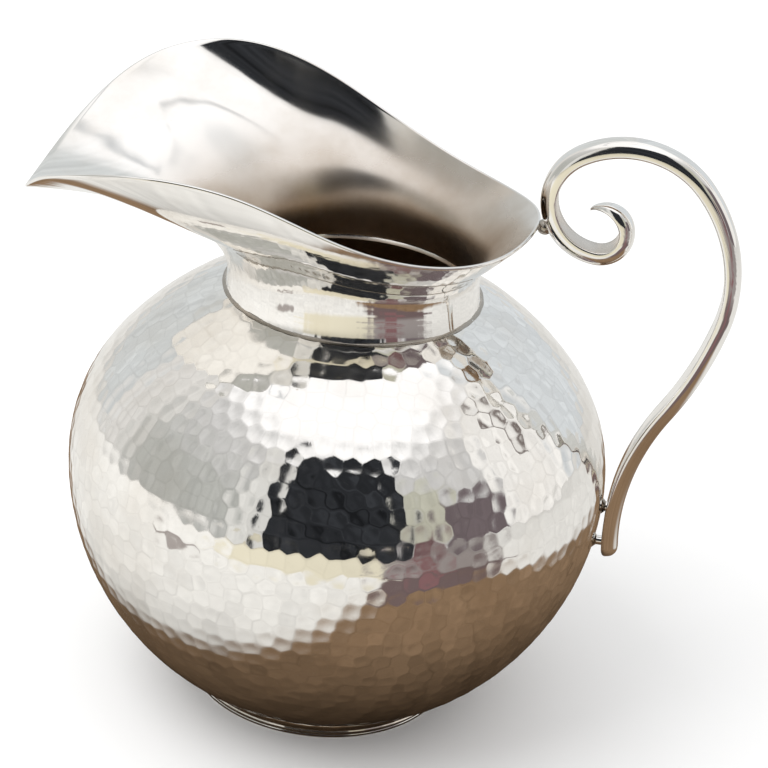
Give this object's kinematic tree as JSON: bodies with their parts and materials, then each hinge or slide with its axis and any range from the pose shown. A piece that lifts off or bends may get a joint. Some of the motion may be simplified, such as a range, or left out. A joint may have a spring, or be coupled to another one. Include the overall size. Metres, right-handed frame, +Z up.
{
  "type": "water pitcher",
  "caption": "Round hammered silver water pitcher with a flared pouring lip, a foot ring and a scrolled handle.",
  "frame": {"origin": "middle of the foot ring's underside, on the table", "axes": "+Z up through the middle of the bowl, the spout points to -X and the handle stands on +X; symmetric about Y = 0"},
  "size_m": [0.2163, 0.168, 0.1967],
  "materials": {
    "hammered_silver": "bright silver with small hammered facets",
    "polished_silver": "bright polished silver with fine hairline scratches and faint tarnish",
    "silver_solder": "slightly duller silver solder fillet"
  },
  "bodies": {
    "root": {"bowl_lower_half": "hammered_silver", "bowl_upper_half": "hammered_silver", "neck_and_lip": "polished_silver", "neck_solder_seam": "silver_solder", "foot_ring": "polished_silver", "foot_solder_seam": "silver_solder", "handle_scroll": "polished_silver", "rim_solder": "silver_solder", "upper_peg": "polished_silver", "upper_peg_solder": "silver_solder", "lower_peg": "polished_silver", "lower_peg_solder": "silver_solder"}
  },
  "joints": []
}
